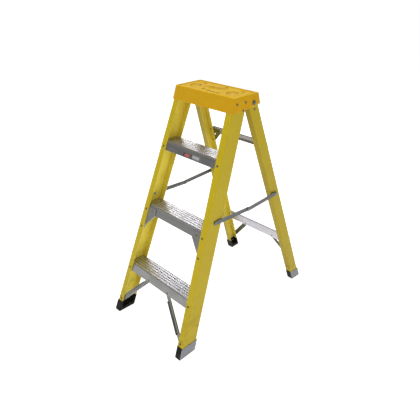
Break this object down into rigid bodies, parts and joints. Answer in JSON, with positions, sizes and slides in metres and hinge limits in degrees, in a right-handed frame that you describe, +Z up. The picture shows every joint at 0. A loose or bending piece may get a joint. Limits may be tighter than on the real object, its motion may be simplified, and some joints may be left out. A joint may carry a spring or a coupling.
{
  "type": "step ladder",
  "caption": "Free-standing folding step ladder with yellow fibreglass rails, aluminium treads, a moulded top cap, a hinged rear frame and folding side spreaders.",
  "frame": {"origin": "middle of the footprint on the floor, with the ladder open", "axes": "+Z up, -Y the climbing side, +X to the right seen from the climbing side looking at the treads"},
  "size_m": [0.5172, 0.9435, 1.125],
  "materials": {
    "cap_plastic": "moulded, fine grain",
    "rail_fibreglass": "pultruded glass fibre, satin",
    "tread_aluminium": "extruded, brushed along",
    "brace_aluminium": "pressed sheet",
    "bar_silver": "bright pressed sheet",
    "rivet_aluminium": "dulled",
    "rivet_dark": "dark plated",
    "boot_metal": "brushed",
    "boot_rubber": "moulded",
    "bush_nylon": "moulded",
    "bolt_steel": "dark zinc",
    "plate_steel": "zinc plated",
    "gusset_olive": "dull paint",
    "strap_dark": "dull paint",
    "spreader_steel": "dark zinc",
    "pin_steel": "dark zinc",
    "label_blank": "printed film"
  },
  "bodies": {
    "front_frame": {"top_cap": "cap_plastic", "front_rail_left": "rail_fibreglass", "front_rail_right": "rail_fibreglass", "tread_top": "tread_aluminium", "tread_middle": "tread_aluminium", "tread_bottom": "tread_aluminium", "tread_rivets_front": "rivet_aluminium", "tread_rivets_rear": "rivet_aluminium", "knee_brace_left": "brace_aluminium", "knee_brace_right": "brace_aluminium", "knee_brace_rivets": "rivet_aluminium", "foot_brace_left": "brace_aluminium", "foot_brace_right": "brace_aluminium", "foot_brace_rivets": "rivet_aluminium", "front_boot_left": "boot_metal", "front_boot_right": "boot_metal", "front_pad_left": "boot_rubber", "front_pad_right": "boot_rubber", "front_foot_rivets": "rivet_aluminium", "cap_rivets": "rivet_dark", "label_plate": "label_blank", "hinge_bolt_left": "bolt_steel", "hinge_bolt_right": "bolt_steel", "hinge_nut_left": "bolt_steel", "hinge_nut_right": "bolt_steel", "spreader_pin_front_left": "pin_steel", "spreader_pin_front_right": "pin_steel"},
    "rear_frame": {"rear_rail_left": "rail_fibreglass", "rear_rail_right": "rail_fibreglass", "rear_bar_upper": "brace_aluminium", "rear_bar_lower": "bar_silver", "rear_gusset_left": "gusset_olive", "rear_gusset_right": "gusset_olive", "rear_brace_left": "strap_dark", "rear_brace_right": "strap_dark", "rear_bar_rivets": "rivet_aluminium", "rear_gusset_rivets": "rivet_aluminium", "rear_brace_rivets": "rivet_aluminium", "rear_boot_left": "boot_metal", "rear_boot_right": "boot_metal", "rear_foot_left": "boot_rubber", "rear_foot_right": "boot_rubber", "rear_foot_rivets": "rivet_aluminium", "hinge_plate_left": "plate_steel", "hinge_plate_right": "plate_steel", "hinge_plate_rivets": "rivet_dark", "hinge_bushing_left": "bush_nylon", "hinge_bushing_right": "bush_nylon", "spreader_pin_rear_left": "pin_steel", "spreader_pin_rear_right": "pin_steel"},
    "spreader_front_left_link": {"spreader_front_left": "spreader_steel", "spreader_joint_tail_left": "pin_steel"},
    "spreader_rear_left_link": {"spreader_rear_left": "spreader_steel", "spreader_joint_head_left": "pin_steel"},
    "spreader_front_right_link": {"spreader_front_right": "spreader_steel", "spreader_joint_tail_right": "pin_steel"},
    "spreader_rear_right_link": {"spreader_rear_right": "spreader_steel", "spreader_joint_head_right": "pin_steel"}
  },
  "joints": [
    {"name": "rear_frame_fold", "type": "hinge", "parent": "front_frame", "child": "rear_frame", "pos_m": [0, 0.06502, 1.087], "axis": [-1, 0, 0], "range_deg": [0, 39]},
    {"name": "spreader_front_left_turn", "type": "hinge", "parent": "front_frame", "child": "spreader_front_left_link", "pos_m": [-0.2165, -0.19772, 0.606], "axis": [1, 0, 0], "range_deg": [0, 75.87]},
    {"name": "spreader_rear_left_turn", "type": "hinge", "parent": "rear_frame", "child": "spreader_rear_left_link", "pos_m": [-0.22, 0.22664, 0.606], "axis": [-1, 0, 0], "range_deg": [0, 47.61]},
    {"name": "spreader_front_right_turn", "type": "hinge", "parent": "front_frame", "child": "spreader_front_right_link", "pos_m": [0.2165, -0.19772, 0.606], "axis": [1, 0, 0], "range_deg": [0, 75.87]},
    {"name": "spreader_rear_right_turn", "type": "hinge", "parent": "rear_frame", "child": "spreader_rear_right_link", "pos_m": [0.22, 0.22664, 0.606], "axis": [-1, 0, 0], "range_deg": [0, 47.61]}
  ],
  "couplings": [
    {"joint": "spreader_front_left_turn", "follows": "rear_frame_fold", "ratio": 1.9441},
    {"joint": "spreader_rear_left_turn", "follows": "rear_frame_fold", "ratio": 1.2196},
    {"joint": "spreader_front_right_turn", "follows": "rear_frame_fold", "ratio": 1.9441},
    {"joint": "spreader_rear_right_turn", "follows": "rear_frame_fold", "ratio": 1.2196}
  ]
}
